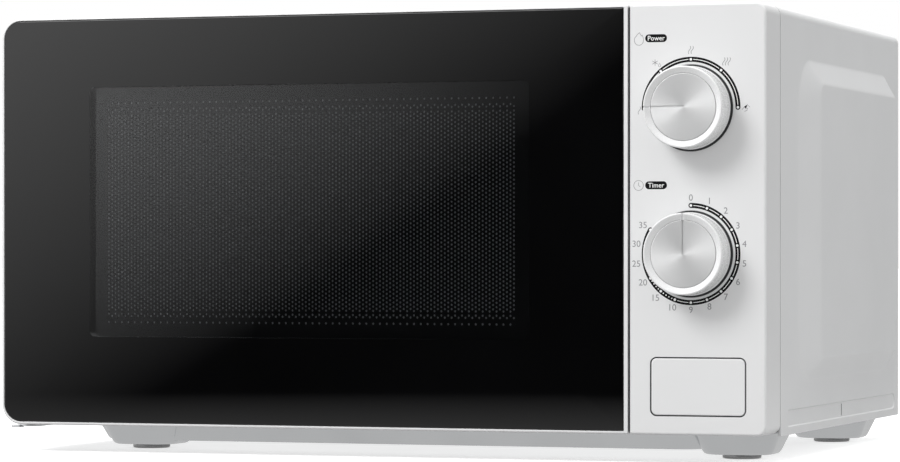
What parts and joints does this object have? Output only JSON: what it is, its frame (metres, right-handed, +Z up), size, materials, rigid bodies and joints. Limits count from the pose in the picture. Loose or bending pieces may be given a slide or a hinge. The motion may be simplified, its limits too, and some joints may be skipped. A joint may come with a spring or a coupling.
{
  "type": "microwave oven",
  "caption": "Countertop microwave oven with a side-hung black glass door, two dial knobs and a push-button door release.",
  "frame": {"origin": "middle of the footprint (bounding box) at the underside of the feet", "axes": "+X right seen from the front, along the width; +Y from the door to the back; +Z up"},
  "size_m": [0.456, 0.349, 0.2493],
  "materials": {
    "white_paint": "satin powder coat on sheet steel",
    "white_plastic": "fine satin moulded ABS",
    "cavity_enamel": "grey cavity coating",
    "black_paint": "matt black coating on perforated steel",
    "black_plastic": "matt moulded plastic",
    "black_glass": "back-printed black tempered glass with a clear window",
    "pale_film": "thin translucent film",
    "zinc_steel": "bright zinc-coated sheet steel",
    "spun_metal": "radially spun face",
    "spring_steel": "bare spring wire and plated screws",
    "dark_plastic": "moulded plastic",
    "grey_plastic": "moulded plastic",
    "foot_rubber": "satin grey rubber",
    "copper_wire": "enamelled copper winding",
    "lamination": "stacked silicon-steel laminations",
    "circuit_board": "coated circuit board",
    "mica": "pressed mica sheet",
    "clear_glass": "clear pressed glass"
  },
  "bodies": {
    "chassis": {"cabinet": "white_paint", "base_plate": "zinc_steel", "foot_front_left": "foot_rubber", "foot_front_right": "foot_rubber", "foot_rear_left": "foot_rubber", "foot_rear_right": "foot_rubber", "rear_panel": "zinc_steel", "rear_screw_left": "spring_steel", "rear_screw_right": "spring_steel", "cord_gland": "dark_plastic", "cavity": "cavity_enamel", "front_plate": "cavity_enamel", "hinge_bracket_lower": "zinc_steel", "hinge_bracket_upper": "zinc_steel", "control_panel": "white_plastic", "timer_unit": "grey_plastic", "power_selector": "grey_plastic", "latch_board": "grey_plastic", "door_switch_primary": "dark_plastic", "door_switch_monitor": "dark_plastic", "door_switch_secondary": "dark_plastic", "magnetron": "zinc_steel", "waveguide": "zinc_steel", "waveguide_cover": "mica", "transformer_core": "lamination", "transformer_coil": "copper_wire", "capacitor": "zinc_steel", "diode": "dark_plastic", "filter_board": "circuit_board", "thermal_cutout": "dark_plastic", "fan_shroud": "dark_plastic", "fan_motor": "lamination", "air_duct": "dark_plastic", "lamp_holder": "zinc_steel", "lamp": "clear_glass", "turntable_motor": "zinc_steel"},
    "fan": {"fan_blade": "grey_plastic"},
    "door": {"door_frame": "white_plastic", "door_glass": "black_glass", "door_screen": "black_paint", "door_film": "pale_film", "door_back_cover": "black_plastic", "latch_spring": "spring_steel"},
    "latch": {"latch_hook": "grey_plastic"},
    "power_dial": {"power_knob": "white_plastic", "power_knob_cap": "spun_metal", "power_shaft": "grey_plastic"},
    "timer_dial": {"timer_knob": "white_plastic", "timer_knob_cap": "spun_metal", "timer_shaft": "grey_plastic"},
    "button": {"release_button": "white_plastic", "release_spring": "spring_steel"},
    "lever": {"release_lever": "grey_plastic"},
    "coupler": {"drive_coupler": "grey_plastic"},
    "plate": {"turntable_plate": "clear_glass"},
    "ring": {"roller_ring": "grey_plastic"},
    "roller_1": {"roller_1": "grey_plastic"},
    "roller_2": {"roller_2": "grey_plastic"},
    "roller_3": {"roller_3": "grey_plastic"}
  },
  "joints": [
    {"name": "door_hinge", "type": "hinge", "parent": "chassis", "child": "door", "pos_m": [-0.212, -0.1415, 0.1301], "axis": [0, 0, 1], "range_deg": [-100, 0]},
    {"name": "latch_lift", "type": "slide", "parent": "door", "child": "latch", "axis": [0, 0, 1], "range_m": [-0.005, 0], "stiffness_N_per_m": 300, "springref_m": -0.008, "deforming": ["latch_spring"]},
    {"name": "power_turn", "type": "hinge", "parent": "chassis", "child": "power_dial", "pos_m": [0.1819, -0.1575, 0.1892], "axis": [0, 1, 0], "range_deg": [0, 180]},
    {"name": "timer_turn", "type": "hinge", "parent": "chassis", "child": "timer_dial", "pos_m": [0.1819, -0.1575, 0.1116], "axis": [0, 1, 0], "range_deg": [0, 300]},
    {"name": "button_press", "type": "slide", "parent": "chassis", "child": "button", "axis": [0, 1, 0], "range_m": [0, 0.005], "stiffness_N_per_m": 600, "springref_m": -0.003, "deforming": ["release_spring"]},
    {"name": "lever_rock", "type": "hinge", "parent": "chassis", "child": "lever", "pos_m": [0.185, -0.1415, 0.0513], "axis": [1, 0, 0], "range_deg": [0, 14.4]},
    {"name": "coupler_spin", "type": "hinge", "parent": "chassis", "child": "coupler", "pos_m": [-0.036, 0.0145, 0.0353], "axis": [0, 0, 1], "continuous": true},
    {"name": "plate_lift", "type": "slide", "parent": "coupler", "child": "plate", "axis": [0, 0, 1], "range_m": [0, 0.06]},
    {"name": "ring_spin", "type": "hinge", "parent": "chassis", "child": "ring", "pos_m": [-0.036, 0.0145, 0.0368], "axis": [0, 0, 1], "continuous": true},
    {"name": "fan_spin", "type": "hinge", "parent": "chassis", "child": "fan", "pos_m": [0.172, 0.1425, 0.1453], "axis": [0, 1, 0], "continuous": true},
    {"name": "roller_1_spin", "type": "hinge", "parent": "ring", "child": "roller_1", "pos_m": [0.056, 0.0145, 0.0368], "axis": [1, 0, 0], "continuous": true},
    {"name": "roller_2_spin", "type": "hinge", "parent": "ring", "child": "roller_2", "pos_m": [-0.082, 0.09417, 0.0368], "axis": [-0.5, 0.866, 0], "continuous": true},
    {"name": "roller_3_spin", "type": "hinge", "parent": "ring", "child": "roller_3", "pos_m": [-0.082, -0.06517, 0.0368], "axis": [-0.5, -0.866, 0], "continuous": true}
  ],
  "couplings": [
    {"joint": "lever_rock", "follows": "button_press", "rad_per_m": 50},
    {"joint": "ring_spin", "follows": "coupler_spin", "ratio": 0.5},
    {"joint": "roller_1_spin", "follows": "coupler_spin", "ratio": -6.3014},
    {"joint": "roller_2_spin", "follows": "coupler_spin", "ratio": -6.3014},
    {"joint": "roller_3_spin", "follows": "coupler_spin", "ratio": -6.3014}
  ]
}
